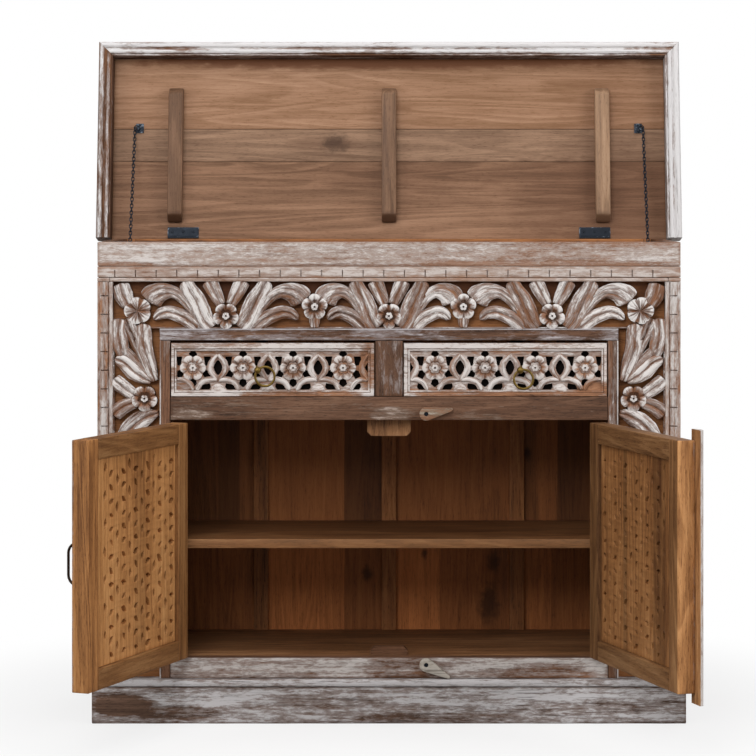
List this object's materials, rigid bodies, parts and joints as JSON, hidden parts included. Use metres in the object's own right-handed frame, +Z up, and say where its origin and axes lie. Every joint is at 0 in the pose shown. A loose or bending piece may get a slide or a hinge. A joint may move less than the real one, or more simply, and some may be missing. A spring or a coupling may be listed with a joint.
{
  "type": "carved cabinet",
  "caption": "Low whitewashed cabinet with a carved front, doors on hinges, ring-pull drawers, a shelf and a compartment under a lift-up lid held by chains.",
  "frame": {"origin": "middle of the plinth's underside, midway between the case's front and back", "axes": "+Z up, +X to the right seen from the front, the front faces -Y"},
  "size_m": [1.2, 0.878, 1.3323],
  "materials": {
    "whitewash": "distressed white wash over brown wood",
    "carving_wash": "distressed white wash on carving",
    "thin_wash": "thin wash over purple brown wood",
    "brown_wood": "satin brown wood",
    "orange_wood": "satin orange brown wood",
    "black_iron": "blackened iron",
    "antique_brass": "dull antique brass",
    "dark_bronze": "dark bronze"
  },
  "bodies": {
    "case": {"plinth_front": "whitewash", "plinth_frame": "whitewash", "side_frame_left": "whitewash", "side_frame_right": "whitewash", "side_panel_left": "whitewash", "side_panel_right": "whitewash", "back_frame": "brown_wood", "back_panel": "brown_wood", "front_top_rail": "whitewash", "tick_moulding_top": "whitewash", "tick_moulding_left": "whitewash", "tick_moulding_right": "whitewash", "carved_apron": "carving_wash", "carved_column_left": "carving_wash", "carved_column_right": "carving_wash", "carving_backer": "brown_wood", "inner_top_rail": "thin_wash", "inner_stile_left": "thin_wash", "inner_stile_right": "thin_wash", "centre_stile": "thin_wash", "lower_rail": "thin_wash", "bottom_rail": "thin_wash", "cabinet_floor": "brown_wood", "shelf": "brown_wood", "compartment_floor": "brown_wood", "drawer_deck": "brown_wood", "stop_block_top": "brown_wood", "stop_block_bottom": "brown_wood", "door_hinge_left_lower": "black_iron", "door_hinge_left_upper": "black_iron", "door_hinge_right_lower": "black_iron", "door_hinge_right_upper": "black_iron", "lid_chain_left": "black_iron", "lid_chain_right": "black_iron"},
    "lid": {"lid_panel": "brown_wood", "lid_rim_front": "whitewash", "lid_rim_left": "whitewash", "lid_rim_right": "whitewash", "lid_batten_left": "brown_wood", "lid_batten_middle": "brown_wood", "lid_batten_right": "brown_wood", "lid_hinge_left": "black_iron", "lid_hinge_right": "black_iron"},
    "door_left": {"door_frame_left": "orange_wood", "door_panel_left": "orange_wood", "door_handle_left": "dark_bronze"},
    "door_right": {"door_frame_right": "orange_wood", "door_panel_right": "orange_wood", "door_handle_right": "dark_bronze", "astragal": "whitewash"},
    "drawer_left": {"drawer_front_left": "carving_wash", "drawer_box_left": "brown_wood", "ring_stud_left": "antique_brass"},
    "drawer_right": {"drawer_front_right": "carving_wash", "drawer_box_right": "brown_wood", "ring_stud_right": "antique_brass"},
    "ring_left": {"ring_pull_left": "antique_brass"},
    "ring_right": {"ring_pull_right": "antique_brass"},
    "latch_top": {"turn_latch_top": "carving_wash"},
    "latch_bottom": {"turn_latch_bottom": "carving_wash"}
  },
  "joints": [
    {"name": "lid_hinge", "type": "hinge", "parent": "case", "child": "lid", "pos_m": [0, 0.1843, 0.927], "axis": [1, 0, 0], "range_deg": [0, 99.6], "deforming": ["lid_chain_left", "lid_chain_right"]},
    {"name": "door_left_hinge", "type": "hinge", "parent": "case", "child": "door_left", "pos_m": [-0.41925, -0.1875, 0.3535], "axis": [0, 0, 1], "range_deg": [-4, 111]},
    {"name": "door_right_hinge", "type": "hinge", "parent": "case", "child": "door_right", "pos_m": [0.41925, -0.1875, 0.3535], "axis": [0, 0, 1], "range_deg": [-108, 7]},
    {"name": "drawer_left_slide", "type": "slide", "parent": "case", "child": "drawer_left", "axis": [0, -1, 0], "range_m": [0, 0.24]},
    {"name": "drawer_right_slide", "type": "slide", "parent": "case", "child": "drawer_right", "axis": [0, -1, 0], "range_m": [0, 0.24]},
    {"name": "ring_left_swing", "type": "hinge", "parent": "drawer_left", "child": "ring_left", "pos_m": [-0.252, -0.197, 0.67915], "axis": [-0.6561, 0, -0.7547], "range_deg": [0, 170]},
    {"name": "ring_right_swing", "type": "hinge", "parent": "drawer_right", "child": "ring_right", "pos_m": [0.252, -0.197, 0.67915], "axis": [-0.9455, 0, -0.3256], "range_deg": [0, 170]},
    {"name": "latch_top_turn", "type": "hinge", "parent": "case", "child": "latch_top", "pos_m": [0.0715, -0.1893, 0.5945], "axis": [0, 1, 0], "range_deg": [0, 100]},
    {"name": "latch_bottom_turn", "type": "hinge", "parent": "case", "child": "latch_bottom", "pos_m": [0.0715, -0.1893, 0.1125], "axis": [0, 1, 0], "range_deg": [-118.5, 0]}
  ]
}
